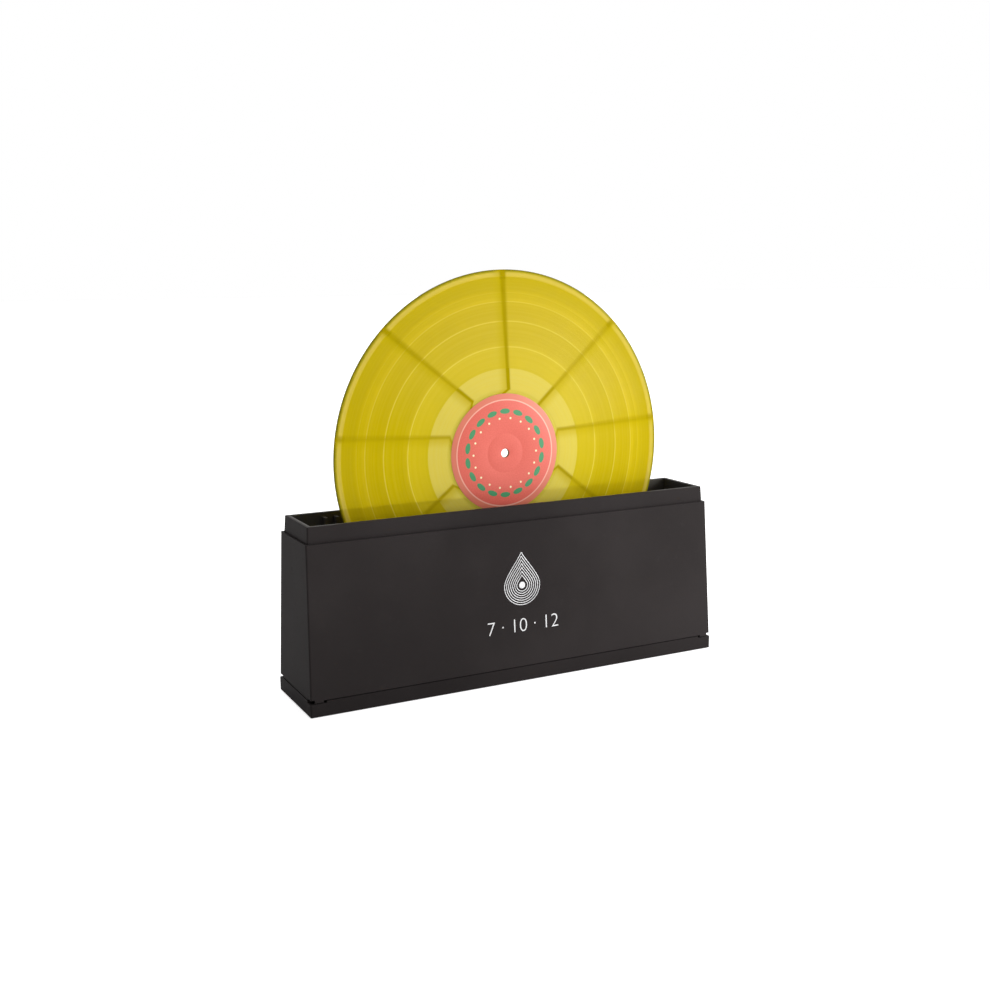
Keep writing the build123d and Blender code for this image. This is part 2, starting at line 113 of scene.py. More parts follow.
class Shading:
    """A tree of shader nodes in the making."""

    def __init__(self, tree):
        self.tree = tree

    def node(self, kind, settings, inputs, output=0):
        """Adds a node, sets it up, joins or sets its sockets, and gives one of its outputs."""
        made = self.tree.nodes.new(kind)
        for name, setting in settings.items():
            if name == "stops":
                ramp = made.color_ramp.elements
                while len(ramp) < len(setting):
                    ramp.new(0.5)
                for stop, (place, colour) in zip(ramp, setting):
                    stop.position = place
                    stop.color = (*colour, 1)
            else:
                setattr(made, name, setting)
        for socket, content in inputs.items():
            if isinstance(content, Value):
                self.tree.links.new(content.socket, made.inputs[socket])
            else:
                made.inputs[socket].default_value = content
        return Value(self, made.outputs[output])

    def axes(self, vector):
        """The three parts of a vector."""
        split = self.node("ShaderNodeSeparateXYZ", {}, {0: vector}).socket.node
        return [Value(self, part) for part in split.outputs]

    def mixed(self, share, first, second):
        """One colour over another, by share."""
        return self.node("ShaderNodeMix", {"data_type": "RGBA"}, {0: share, 6: first, 7: second}, output=2)


class Finish(Shading):
    """A material: its Principled shader, and the nodes that vary it over the piece."""

    def __init__(self, name, **constants):
        self.material = bpy.data.materials.new(name)
        self.material.use_nodes = True
        super().__init__(self.material.node_tree)
        self.shader = self.tree.nodes["Principled BSDF"]
        self.position = self.node("ShaderNodeTexCoord", {}, {}, output="Object")
        for socket, amount in constants.items():
            self.shader.inputs[socket.replace("_", " ")].default_value = amount

    def noise(self, scale, detail=2.0):
        """A noise between about 0.2 and 0.8, at so many cells per metre."""
        inputs = {"Vector": self.position, "Scale": scale, "Detail": detail}
        return self.node("ShaderNodeTexNoise", {}, inputs)

    def vary(self, socket, value):
        self.tree.links.new(value.socket, self.shader.inputs[socket])

    def relief(self, height, depth, edge=0.0):
        """Raises the surface by a height from 0 to 1 over depth, and rounds its edges, in looks alone."""
        inputs = {"Strength": 1.0, "Distance": depth, "Height": height}
        if edge:
            inputs["Normal"] = self.node("ShaderNodeBevel", {"samples": 6}, {"Radius": edge})
        self.vary("Normal", self.node("ShaderNodeBump", {}, inputs))


def moulded(name, colour, roughness, texture_depth, texture_pitch, edge, specular):
    """Moulded plastic: a fine texture, faint flow marks and a little handling dust."""
    flow_marks_per_metre, dust_spots_per_metre = 9.0, 160.0
    finish = Finish(name, Specular_IOR_Level=specular)
    grain = finish.noise(1 / texture_pitch, 3.0)
    flow = finish.noise(flow_marks_per_metre, 3.0)
    dust = finish.noise(dust_spots_per_metre, 4.0).rises(0.62, 0.78)
    lighter = [channel * 1.25 + 0.001 for channel in colour]
    dusty = [channel * 1.2 + 0.005 for channel in colour]
    body = finish.mixed(flow.rises(0.35, 0.7), (*colour, 1), (*lighter, 1))
    finish.vary("Base Color", finish.mixed(dust * 0.35, body, (*dusty, 1)))
    finish.vary("Roughness", flow * 0.08 + grain * 0.06 + dust * 0.1 + roughness)
    finish.relief(grain, texture_depth, edge)
    return finish.material


def textured_charcoal(name, shade):
    """The housing's and the tray's plastic: charcoal with a fine spark-eroded texture."""
    return moulded(
        name,
        colour=(0.0225 * shade, 0.0192 * shade, 0.0192 * shade),
        roughness=0.42,
        texture_depth=0.00003,
        texture_pitch=0.00042,
        edge=0.0004,
        specular=0.025,
    )


# Painted shade: the tray gets the housing's plastic made darker, at 0.82 of its brightness.
nodes["base_tray"].material_slots[0].material = textured_charcoal("tray_plastic", shade=0.82)

# ---- Feet ---------------------------------------------------------------------------------------
# Four discs of black rubber, moulded with a rounded lower edge and a shallow cup underneath, and
# pressed into the sockets in the tray's underside.


def opened(name, add, **size):
    """Adds one primitive by itself, at its size and place, and opens it for editing."""
    bpy.ops.object.select_all(action="DESELECT")
    add(**size)
    piece = bpy.context.object
    piece.name = name
    bpy.ops.object.transform_apply(location=True, rotation=True, scale=True)
    bpy.ops.object.mode_set(mode="EDIT")
    return piece


def pick(kind, test):
    """Selects the open piece's faces or edges whose middle and direction pass a test."""
    bpy.ops.mesh.select_mode(type=kind)
    bpy.ops.mesh.select_all(action="DESELECT")
    mesh = bpy.context.object.data
    shape = bmesh.from_edit_mesh(mesh)
    for part in shape.faces if kind == "FACE" else shape.edges:
        ends = [corner.co for corner in part.verts]
        middle = sum(ends, Vector()) / len(ends)
        direction = part.normal if kind == "FACE" else (ends[1] - ends[0]).normalized()
        part.select_set(test(middle, direction))
    shape.select_flush_mode()
    bmesh.update_edit_mesh(mesh)


def closed(piece, material, bevel=None, smooth=35):
    """Leaves editing, rounds the sharp edges if asked, and gives the piece its finish."""
    bpy.ops.object.mode_set(mode="OBJECT")
    if bevel:
        rounding = piece.modifiers.new("rounding", "BEVEL")
        rounding.width = bevel
        rounding.segments = 2
        rounding.angle_limit = radians(40)
        bpy.ops.object.modifier_apply(modifier="rounding")
    bpy.ops.object.shade_smooth_by_angle(angle=radians(smooth))
    piece.data.materials.clear()
    piece.data.materials.append(material)
    return piece


def copied(piece, name, move):
    """A copy with a mesh of its own, moved or turned by a matrix."""
    copy = piece.copy()
    copy.name = name
    copy.data = piece.data.copy()
    copy.data.transform(move)
    bpy.context.collection.objects.link(copy)
    return copy


def belongs(piece, body, slot, *stands_for):
    """Puts a piece on its body and hides the nodes it stands for. The slot is not used."""
    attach(piece, body)
    if stands_for:
        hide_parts(*stands_for)


rubber = Finish("foot_rubber", Specular_IOR_Level=0.3)
rubber_grain = rubber.noise(1500.0, 3.0)
rubber_wear = rubber.noise(220.0, 3.0).rises(0.45, 0.75)
rubber.vary("Base Color", rubber.mixed(rubber_wear, (0.014, 0.014, 0.014, 1), (0.032, 0.031, 0.030, 1)))
rubber.vary("Roughness", rubber_wear * 0.12 + 0.72)
rubber.relief(rubber_grain, 0.00006)

foot_low, foot_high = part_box("front_left_foot")
foot_middle = (foot_low + foot_high) / 2
foot_radius = (foot_high.x - foot_low.x) / 2
foot_rounding = 0.0005
cup_rim, cup_slope, cup_depth = 0.0016, 0.0004, 0.0003
foot = opened(
    "front_left_foot_rubber",
    bpy.ops.mesh.primitive_cylinder_add,
    vertices=72,
    radius=foot_radius,
    depth=foot_high.z - foot_low.z,
    location=foot_middle,
)
pick("EDGE", lambda middle, direction: middle.z < foot_low.z + 1e-5 and abs(direction.z) < 0.1)
bpy.ops.mesh.bevel(offset=foot_rounding, segments=4, affect="EDGES")
pick("FACE", lambda middle, direction: direction.z < -0.99)
bpy.ops.mesh.inset(thickness=cup_rim)
bpy.ops.mesh.inset(thickness=cup_slope)
bpy.ops.transform.translate(value=(0, 0, cup_depth))
closed(foot, rubber.material)
belongs(foot, "housing", "foot", "front_left_foot")
for place in ("front_right", "rear_left", "rear_right"):
    low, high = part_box(f"{place}_foot")
    offset = Matrix.Translation((low + high) / 2 - foot_middle)
    belongs(copied(foot, f"{place}_foot_rubber", offset), "housing", "foot", f"{place}_foot")

# ---- Screws -------------------------------------------------------------------------------------
# Eight zinc plated pan head screws, driven from below through the tray's posts: four into the
# housing's bosses and four into the basin's.

plated = Finish("screw_zinc", Metallic=1.0)
plating = plated.noise(700.0, 3.0)
plated_tone = plated.mixed(plating.rises(0.3, 0.7), (0.42, 0.42, 0.41, 1), (0.56, 0.56, 0.57, 1))
plated.vary("Base Color", plated_tone)
plated.vary("Roughness", plating * 0.2 + 0.26)
plated.relief(plating, 0.00001)
for name in ("shell_screws", "tub_screws"):
    nodes[name].material_slots[0].material = plated.material

# ---- Housing ------------------------------------------------------------------------------------
# The tapered housing with the collar round its mouth, one moulding in the tray's charcoal ABS and
# its texture. It is open below, laps over the tray and is pulled down by the corner screws.

nodes["outer_shell"].material_slots[0].material = textured_charcoal("housing_plastic", shade=1.0)

# ---- Print on the front -------------------------------------------------------------------------
# A silver pad print: a water drop drawn as nested ripples, over the three record sizes in inches
# that the roller slots take. It has no thickness to speak of.

front_low_z, front_high_z = 0.0132, 0.1341
front_low_y, front_high_y = -0.0383, -0.03065
front_slope = (front_high_y - front_low_y) / (front_high_z - front_low_z)
print_stand = 0.00004
print_depth = 0.00003


def on_front(x, z):
    """Where a flat drawing goes so that its middle lies on the front face at x and z."""
    y = front_low_y + (z - front_low_z) * front_slope - print_stand
    lean = Matrix.Rotation(pi / 2 - asin(front_slope), 4, "X")
    return Matrix.Translation((x, y, z)) @ lean


silver = Finish("print_silver", Metallic=0.35, Specular_IOR_Level=0.5)
ink_grain = silver.noise(2600.0, 2.0)
ink_tone = silver.mixed(ink_grain.rises(0.35, 0.7), (0.66, 0.66, 0.67, 1), (0.78, 0.78, 0.79, 1))
silver.vary("Base Color", ink_tone)
silver.vary("Roughness", ink_grain * 0.2 + 0.32)
silver.relief(ink_grain, 0.000006)

print_x, drop_z, sizes_z = -0.002, 0.0815, 0.0475
ripple_sizes = (1.0, 0.885, 0.77, 0.655, 0.54, 0.425, 0.31)
drop_round, drop_tip = 0.0165, 0.0275
tip_handle_x, tip_handle_z, side_handle_z = 0.0035, 0.0205, 0.0075
line_half_width = 0.00034
core_radius = 0.0028
for ripple, share in enumerate(ripple_sizes):
    bpy.ops.object.select_all(action="DESELECT")
    bpy.ops.curve.primitive_bezier_circle_add(radius=drop_round * share)
    line = bpy.context.object
    line.name = f"drop_ripple_{ripple + 1}"
    left, top, right, bottom = line.data.splines[0].bezier_points
    for point in (left, top, right, bottom):
        point.handle_left_type = point.handle_right_type = "FREE"
    top.co = (0, drop_tip * share, 0)
    top.handle_left = (-tip_handle_x * share, tip_handle_z * share, 0)
    top.handle_right = (tip_handle_x * share, tip_handle_z * share, 0)
    left.handle_right = (-drop_round * share, side_handle_z * share, 0)
    right.handle_left = (drop_round * share, side_handle_z * share, 0)
    line.data.resolution_u = 24
    line.data.bevel_depth = line_half_width
    line.data.bevel_resolution = 1
    bpy.ops.object.convert(target="MESH")
    line.data.transform(Matrix.Diagonal((1, 1, print_depth / line_half_width, 1)))
    line.data.transform(on_front(print_x, drop_z))
    line.data.materials.append(silver.material)
    belongs(line, "housing", "housing")

drop_core = opened(
    "drop_core", bpy.ops.mesh.primitive_circle_add, vertices=48, radius=core_radius, fill_type="NGON"
)
bpy.ops.mesh.extrude_region_move(TRANSFORM_OT_translate={"value": (0, 0, print_depth)})
bpy.ops.mesh.select_all(action="SELECT")
bpy.ops.mesh.normals_make_consistent(inside=False)
closed(drop_core, silver.material)
drop_core.data.transform(on_front(print_x, drop_z))
belongs(drop_core, "housing", "housing")

letter_size = 0.0165
letter_thinning = 0.00028
bpy.ops.object.select_all(action="DESELECT")
bpy.ops.object.text_add()
sizes_print = bpy.context.object
sizes_print.name = "record_sizes_print"
sizes_print.data.body = "7 · 10 · 12"
sizes_print.data.align_x = "CENTER"
sizes_print.data.align_y = "CENTER"
sizes_print.data.size = letter_size
sizes_print.data.offset = -letter_thinning
sizes_print.data.extrude = print_depth
bpy.ops.object.convert(target="MESH")
sizes_print.data.transform(on_front(print_x, sizes_z))
sizes_print.data.materials.append(silver.material)
belongs(sizes_print, "housing", "housing")

# ---- Basin --------------------------------------------------------------------------------------
# The narrow basin that drops into the housing, moulded in satin black ABS with the roller forks and
# the brush guides in one piece. Four screws under the tray hold it down.

nodes["inner_tub"].material_slots[0].material = moulded(
    "basin_plastic",
    colour=(0.0480, 0.0440, 0.0380),
    roughness=0.45,
    texture_depth=0.000008,
    texture_pitch=0.0009,
    edge=0.0003,
    specular=0.1,
)

# ---- Rollers ------------------------------------------------------------------------------------
# Each roller is two black nylon cheeks clamped on a grey rubber tyre and pressed on a ground steel
# axle. The cheeks form the V that guides the record's edge, and six pockets lighten each of them.


def turned(name, outline, centre, steps):
    """Spins a closed outline of (radius, place along Y) about a line along Y, as on a lathe."""
    piece = opened(name, bpy.ops.mesh.primitive_circle_add, vertices=len(outline), radius=0.01)
    shape = bmesh.from_edit_mesh(piece.data)
    shape.verts.ensure_lookup_table()
    for vertex, (radius, along) in zip(shape.verts, outline):
        vertex.co = (centre[0] + radius, centre[1] + along, centre[2])
    bmesh.update_edit_mesh(piece.data)
    bpy.ops.mesh.select_all(action="SELECT")
    bpy.ops.mesh.spin(steps=steps, angle=2 * pi, center=centre, axis=(0, 1, 0))
    bpy.ops.mesh.select_all(action="SELECT")
    bpy.ops.mesh.remove_doubles(threshold=1e-7)
    bpy.ops.mesh.normals_make_consistent(inside=False)
    return piece


nylon = moulded(
    "roller_nylon",
    colour=(0.011, 0.011, 0.012),
    roughness=0.26,
    texture_depth=0.00001,
    texture_pitch=0.0007,
    edge=0,
    specular=0.3,
)

tyre_rubber = Finish("tyre_rubber", Specular_IOR_Level=0.35)
tyre_grain = tyre_rubber.noise(1900.0, 3.0)
tyre_tone = tyre_rubber.noise(150.0, 2.0)
tyre_colour = tyre_rubber.mixed(tyre_tone, (0.040, 0.040, 0.041, 1), (0.066, 0.065, 0.063, 1))
tyre_rubber.vary("Base Color", tyre_colour)
tyre_rubber.vary("Roughness", tyre_tone * 0.2 + 0.55)
tyre_rubber.relief(tyre_grain, 0.00004)

axle_steel = Finish("axle_steel", Metallic=1.0)
axle_y = axle_steel.axes(axle_steel.position)[1]
grinding = axle_steel.node(
    "ShaderNodeTexNoise", {"noise_dimensions": "1D"}, {"W": axle_y, "Scale": 9000.0, "Detail": 3.0}
)
axle_steel.vary("Base Color", axle_steel.mixed(grinding, (0.50, 0.50, 0.50, 1), (0.64, 0.63, 0.62, 1)))
axle_steel.vary("Roughness", grinding * 0.18 + 0.16)
axle_steel.relief(grinding, 0.000004)

cheek_outline = (
    (0.0031, 0.0), (0.0085, 0.0), (0.0085, 0.0018), (0.0117, 0.0018), (0.0160, 0.0060), (0.0160, 0.0090),
    (0.0142, 0.0090), (0.0086, 0.0090), (0.0070, 0.0090), (0.0070, 0.0165), (0.0031, 0.0165),
)
cheek_rounding = 0.00022
pocket_count = 6
pocket_radius, pocket_circle, pocket_floor = 0.0025, 0.0114, 0.005
drill_length = 0.008
left_low, left_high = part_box("left_roller_axle")
right_low, right_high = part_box("right_roller_axle")
left_axle = (left_low + left_high) / 2
right_axle = (right_low + right_high) / 2

cheek = turned("left_roller_rear_cheek_nylon", cheek_outline, left_axle, 96)
bpy.ops.object.mode_set(mode="OBJECT")
for number in range(pocket_count):
    angle = number * 2 * pi / pocket_count
    drill_middle = (pocket_circle * cos(angle), pocket_floor + drill_length / 2, pocket_circle * sin(angle))
    bpy.ops.object.select_all(action="DESELECT")
    bpy.ops.mesh.primitive_cylinder_add(
        vertices=40,
        radius=pocket_radius,
        depth=drill_length,
        location=left_axle + Vector(drill_middle),
        rotation=(pi / 2, 0, 0),
    )
    drill = bpy.context.object
    bpy.context.view_layer.objects.active = cheek
    pocket = cheek.modifiers.new("pocket", "BOOLEAN")
    pocket.object = drill
    bpy.ops.object.modifier_apply(modifier="pocket")
    bpy.data.objects.remove(drill)
closed(cheek, nylon, bevel=cheek_rounding)

tyre_outline = (
    (0.00855, -0.0018), (0.0108, -0.0018), (0.0114, -0.00165), (0.01162, -0.0011), (0.01158, -0.0004),
    (0.01146, 0.0), (0.01158, 0.0004), (0.01162, 0.0011), (0.0114, 0.00165), (0.0108, 0.0018),
    (0.00855, 0.0018),
)
tyre = closed(turned("left_roller_tyre_rubber", tyre_outline, left_axle, 96), tyre_rubber.material)

axle_rounding = 0.0006
axle = opened(
    "left_roller_axle_steel",
    bpy.ops.mesh.primitive_cylinder_add,
    vertices=64,
    radius=(left_high.x - left_low.x) / 2,
    depth=left_high.y - left_low.y,
    location=left_axle,
    rotation=(pi / 2, 0, 0),
)
pick("EDGE", lambda middle, direction: abs(middle.y) > left_high.y - 1e-5 and abs(direction.y) < 0.1)
bpy.ops.mesh.bevel(offset=axle_rounding, segments=3, affect="EDGES")
closed(axle, axle_steel.material)

half_turn = Matrix.Rotation(pi, 4, "Z")
front_from_rear = Matrix.Translation(left_axle) @ half_turn @ Matrix.Translation(-left_axle)
front_cheek = copied(cheek, "left_roller_front_cheek_nylon", front_from_rear)
left_set = (
    (cheek, "rear_cheek", "roller"),
    (front_cheek, "front_cheek", "roller"),
    (tyre, "tyre", "roller_tyre"),
    (axle, "axle", "axle"),
)
to_right = Matrix.Translation(right_axle - left_axle)
for piece, node, slot in left_set:
    twin = copied(piece, piece.name.replace("left", "right"), to_right)
    belongs(twin, "right_roller", slot, f"right_roller_{node}")
    belongs(piece, "left_roller", slot, f"left_roller_{node}")

# ---- Brush holders ------------------------------------------------------------------------------
# A flat plate of the rollers' black nylon with a lip to pull it up by and three grip bars. It slides
# in the basin's guides and stands on their stops. The rear one is the front one turned round.

holder_width, holder_low, holder_high = 0.030, 0.0360, 0.1415
holder_face, holder_back = -0.0084, -0.0114
lip_low, lip_half, lip_reach = 0.1385, 0.008, 0.0024
holder_middle = (holder_low + holder_high) / 2
top_corner, foot_corner, moulded_rounding = 0.007, 0.002, 0.0003
grip_heights = (0.1301, 0.1333, 0.1365)
grip_size = (0.020, 0.0012, 0.0014)
grip_stand = 0.0004
holder = opened(
    "front_brush_holder_plastic",
    bpy.ops.mesh.primitive_cube_add,
    size=1,
    location=(0, (holder_face + holder_back) / 2, holder_middle),
    scale=(holder_width, holder_face - holder_back, holder_high - holder_low),
)
pick("EDGE", lambda middle, direction: abs(direction.y) > 0.9 and middle.z > holder_middle)
bpy.ops.mesh.bevel(offset=top_corner, segments=10, affect="EDGES")
pick("EDGE", lambda middle, direction: abs(direction.y) > 0.9 and middle.z < holder_low + 1e-4)
bpy.ops.mesh.bevel(offset=foot_corner, segments=1, affect="EDGES")
lip_cuts = (
    ((0, 0, lip_low), (0, 0, 1)),
    ((-lip_half, 0, 0), (1, 0, 0)),
    ((lip_half, 0, 0), (1, 0, 0)),
)
for cut, normal in lip_cuts:
    bpy.ops.mesh.select_all(action="SELECT")
    bpy.ops.mesh.bisect(plane_co=cut, plane_no=normal)
pick(
    "FACE",
    lambda middle, direction: direction.y < -0.9 and middle.z > lip_low and abs(middle.x) < lip_half,
)
bpy.ops.mesh.extrude_region_move(TRANSFORM_OT_translate={"value": (0, -lip_reach, 0)})
closed(holder, nylon, bevel=moulded_rounding)
for height in grip_heights:
    bar = opened(
        "grip_bar",
        bpy.ops.mesh.primitive_cube_add,
        size=1,
        location=(0, holder_face + grip_stand, height),
        scale=grip_size,
    )
    closed(bar, nylon, bevel=moulded_rounding)
    holder.select_set(True)
    bpy.context.view_layer.objects.active = holder
    bpy.ops.object.join()
rear_holder = copied(holder, "rear_brush_holder_plastic", half_turn)
belongs(holder, "front_brush", "brush_holder", "front_brush_holder")
belongs(rear_holder, "rear_brush", "brush_holder", "rear_brush_holder")

# ---- Brush foam ---------------------------------------------------------------------------------
# A strip of grey closed-cell foam glued to each holder, which presses the pile against the grooves.
# It bulges a little between its glued faces.

pad_half_width, pad_low, pad_high = 0.013, 0.039, 0.126
pad_middle = (pad_low + pad_high) / 2
pad_corner = 0.002
foam_face, foam_back = -0.0054, -0.0084
foam_inset, foam_bulge = 0.0004, 0.0002
foam_cuts = (0.0008, 0.0015, 0.0022)
foam = opened(
    "front_brush_foam_pad",
    bpy.ops.mesh.primitive_cube_add,
    size=1,
    location=(0, (foam_face + foam_back) / 2, pad_middle),
    scale=(2 * pad_half_width - foam_inset, foam_face - foam_back, pad_high - pad_low - foam_inset),
)
pick("EDGE", lambda middle, direction: abs(direction.y) > 0.9)
bpy.ops.mesh.bevel(offset=pad_corner, segments=6, affect="EDGES")
for depth in foam_cuts:
    bpy.ops.mesh.select_all(action="SELECT")
    bpy.ops.mesh.bisect(plane_co=(0, foam_back + depth, 0), plane_no=(0, 1, 0))
shape = bmesh.from_edit_mesh(foam.data)
for vertex in shape.verts:
    depth = (vertex.co.y - foam_back) / (foam_face - foam_back)
    bulge = foam_bulge * (4 * depth * (1 - depth) - 1)
    vertex.co.x += bulge * (1 if vertex.co.x > 0 else -1)
    vertex.co.z += bulge * (1 if vertex.co.z > pad_middle else -1)
bmesh.update_edit_mesh(foam.data)

closed_cell = Finish("brush_foam", Specular_IOR_Level=0.2)
cells = closed_cell.node(
    "ShaderNodeTexVoronoi", {"feature": "F1"}, {"Vector": closed_cell.position, "Scale": 2200.0}
)
closed_cell.vary("Base Color", closed_cell.mixed(cells, (0.055, 0.056, 0.060, 1), (0.105, 0.107, 0.112, 1)))
closed_cell.vary("Roughness", cells * 0.1 + 0.82)
closed_cell.relief(cells, 0.00015)
closed(foam, closed_cell.material)
rear_foam = copied(foam, "rear_brush_foam_pad", half_turn)
for piece, side in ((foam, "front"), (rear_foam, "rear")):
    belongs(piece, f"{side}_brush", "brush_foam", f"{side}_brush_foam")

# ---- Brush pile ---------------------------------------------------------------------------------
# Short white nylon pile, woven into a backing cloth in rows of tufts and glued on the foam. The
# tufts lean and differ a little, as cut pile does.

pile_root = -0.0054
backing_depth = 0.0006
tuft_pitch = 0.00108
tuft_columns, tuft_rows = 24, 80
tuft_foot_radius, tuft_tip_radius, tuft_length = 0.00046, 0.00024, 0.0032
tuft_lean, tuft_droop, tuft_wear = 0.00022, 0.0001, 0.00012
tuft_first_x = -tuft_pitch * (tuft_columns - 1) / 2
tuft_first_z = pad_middle - tuft_pitch * (tuft_rows - 1) / 2
pile = opened(
    "front_brush_pile_tufts",
    bpy.ops.mesh.primitive_cone_add,
    vertices=6,
    radius1=tuft_foot_radius,
    radius2=tuft_tip_radius,
    depth=tuft_length,
    end_fill_type="NGON",
    location=(tuft_first_x, pile_root + backing_depth + tuft_length / 2, tuft_first_z),
    rotation=(-pi / 2, 0, 0),
)
bpy.ops.object.mode_set(mode="OBJECT")
for label, count, offset in (
    ("columns", tuft_columns, (tuft_pitch, 0, 0)),
    ("rows", tuft_rows, (0, 0, tuft_pitch)),
):
    spread = pile.modifiers.new(label, "ARRAY")
    spread.count = count
    spread.use_relative_offset = False
    spread.use_constant_offset = True
    spread.constant_offset_displace = offset
    bpy.ops.object.modifier_apply(modifier=label)
for vertex in pile.data.vertices:
    column = round((vertex.co.x - tuft_first_x) / tuft_pitch)
    row = round((vertex.co.z - tuft_first_z) / tuft_pitch)
    reach = (vertex.co.y - pile_root - backing_depth) / tuft_length
    vertex.co.x += reach * tuft_lean * sin(column * 12.9898 + row * 78.233)
    vertex.co.z += reach * tuft_lean * sin(column * 39.346 + row * 11.135) - reach * tuft_droop
    vertex.co.y -= reach * tuft_wear * (1 + sin(column * 73.156 + row * 52.235))
backing = opened(
    "backing",
    bpy.ops.mesh.primitive_cube_add,
    size=1,
    location=(0, pile_root + backing_depth / 2, pad_middle),
    scale=(2 * pad_half_width, backing_depth, pad_high - pad_low),
)
pick("EDGE", lambda middle, direction: abs(direction.y) > 0.9)
bpy.ops.mesh.bevel(offset=pad_corner, segments=5, affect="EDGES")
bpy.ops.object.mode_set(mode="OBJECT")
pile.select_set(True)
bpy.context.view_layer.objects.active = pile
bpy.ops.object.join()

fibre = Finish("pile_nylon", Specular_IOR_Level=0.3, Sheen_Weight=0.35, Sheen_Roughness=0.4)
fibre_y = fibre.axes(fibre.position)[1]
# Painted shade: the pile's colour darkens towards its roots, between the tufts.
painted_root_shade = abs(fibre_y).rises(0.0052, 0.0018)
fibre_tone = fibre.noise(420.0, 3.0)
fibre_colour = fibre.mixed(fibre_tone, (0.60, 0.58, 0.53, 1), (0.78, 0.77, 0.73, 1))
fibre.vary("Base Color", fibre.mixed(painted_root_shade, (0.34, 0.33, 0.30, 1), fibre_colour))
fibre.vary("Roughness", fibre_tone * 0.15 + 0.7)
fibre.relief(fibre.noise(5200.0, 2.0), 0.00006)
closed(pile, fibre.material)
rear_pile = copied(pile, "rear_brush_pile_tufts", half_turn)
belongs(pile, "front_brush", "brush_pile", "front_brush_pile")
belongs(rear_pile, "rear_brush", "brush_pile", "rear_brush_pile")

# ---- Record -------------------------------------------------------------------------------------
# A 12 inch record pressed in translucent yellow vinyl, with a raised rim, five bands of grooves, a
# smooth run-out and a raised land for the labels. Eight darker streaks run out from the labels, a
# painted reflection, each with a painted shade on one side. The vinyl's colour also holds painted
# light: paler towards the top and the right, faint lighter rings of painted groove sheen, painted
# highlights at the gaps between the bands, and painted shade at the hole's wall and the rim's edge.

record_low, record_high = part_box("record_disc")
record_z = (record_low.z + record_high.z) / 2
record_centre = (0, 0, record_z)
record_radius = 0.1508
groove_bands = (
    (0.0706, 0.0878, (0.615, 0.506, 0.010), (0.650, 0.522, 0.012)),
    (0.0886, 0.1087, (0.645, 0.514, 0.010), (0.593, 0.468, 0.002)),
    (0.1095, 0.1246, (0.598, 0.470, 0.001), (0.583, 0.454, 0.001)),
    (0.1254, 0.1319, (0.650, 0.502, 0.004), (0.596, 0.466, 0.001)),
    (0.1327, 0.1428, (0.615, 0.475, 0.001), (0.542, 0.424, 0.001)),
)
gap_width, smooth_half, grooved_half = 0.0008, 0.0008, 0.00076
record_side = [(0.00362, 0.0), (0.00362, 0.00092), (0.00378, 0.00105), (0.0505, 0.00105)]
record_side += [(0.0509, 0.00102), (0.0518, 0.00084), (0.0522, smooth_half)]
for start, end, *_ in groove_bands:
    record_side += [(start - 0.0001, smooth_half), (start + 0.0002, grooved_half)]
    record_side += [(end - 0.0002, grooved_half), (end + 0.0001, smooth_half)]
record_side += [(0.1442, smooth_half), (0.1447, 0.00084), (0.1453, 0.00103), (0.1458, 0.00108)]
record_side += [(0.1480, 0.0011), (0.1499, 0.00108), (0.1503, 0.00100), (0.1506, 0.00082)]
record_side += [(0.15076, 0.0005), (record_radius, 0.0)]
record_outline = [(radius, -half) for radius, half in record_side]
record_outline += [(radius, half) for radius, half in reversed(record_side[1:-1])]
record = turned("record_vinyl", record_outline, record_centre, 288)

vinyl = Finish("record_vinyl", Transmission_Weight=0.42, IOR=1.1, Specular_IOR_Level=0.08)
vinyl_x, _, vinyl_z = vinyl.axes(vinyl.position)
up = vinyl_z - record_z
radius = (vinyl_x * vinyl_x + up * up).math("SQRT")
# Painted shade: the first, nearly black tone darkens the wall of the hole.
tones = [(0.0040, (0.09, 0.05, 0.020)), (0.0046, (0.62, 0.52, 0.080)), (0.0500, (0.62, 0.52, 0.080))]
tones += [(0.0522, (0.65, 0.55, 0.080)), (0.0540, (0.71, 0.60, 0.105)), (0.0702, (0.72, 0.61, 0.105))]
for start, end, first_tone, last_tone in groove_bands:
    tones += [(start, first_tone), (start + 0.0030, last_tone), (end, last_tone)]
tones += [(0.1446, (0.56, 0.435, 0.004)), (0.1457, (0.68, 0.540, 0.075)), (0.1479, (0.67, 0.530, 0.090))]
# Painted shade: these last tones darken the rim's rounded outer edge.
tones += [(0.1486, (0.58, 0.480, 0.025)), (0.1492, (0.30, 0.260, 0.006)), (0.1505, (0.22, 0.195, 0.004))]
zones = vinyl.node(
    "ShaderNodeValToRGB",
    {"stops": [(place / record_radius, tone) for place, tone in tones]},
    {0: radius / record_radius},
)
groove_tone = vinyl.node(
    "ShaderNodeTexNoise", {"noise_dimensions": "1D"}, {"W": radius, "Scale": 420.0, "Detail": 4.0}
)
# Painted sheen: faint lighter rings in the vinyl's colour stand in for the grooves' highlights.
with_groove_sheen = vinyl.mixed(groove_tone.rises(0.3, 0.75) * 0.22, zones, (0.74, 0.58, 0.040, 1))
# Painted light: the vinyl is made paler towards the top and the right, where the light falls.
painted_light_share = (vinyl_x * 0.5 + up * 2.2) * radius.rises(0.165, 0.085)
with_painted_light = vinyl.mixed(painted_light_share, with_groove_sheen, (0.72, 0.58, 0.17, 1))
# Painted highlight: lighter lines in the vinyl's colour at the gaps between the bands of grooves.
gap_strengths = (0.40, 0.36, 0.26, 0.10)
painted_gap_highlights = 0.0
for (start, *_), strength in zip(groove_bands[1:], gap_strengths):
    painted_gap_highlights = painted_gap_highlights + abs(radius - (start - gap_width / 2)).rises(gap_width, 0.0002) * strength
with_gaps = vinyl.mixed(painted_gap_highlights, with_painted_light, (0.92, 0.76, 0.14, 1))
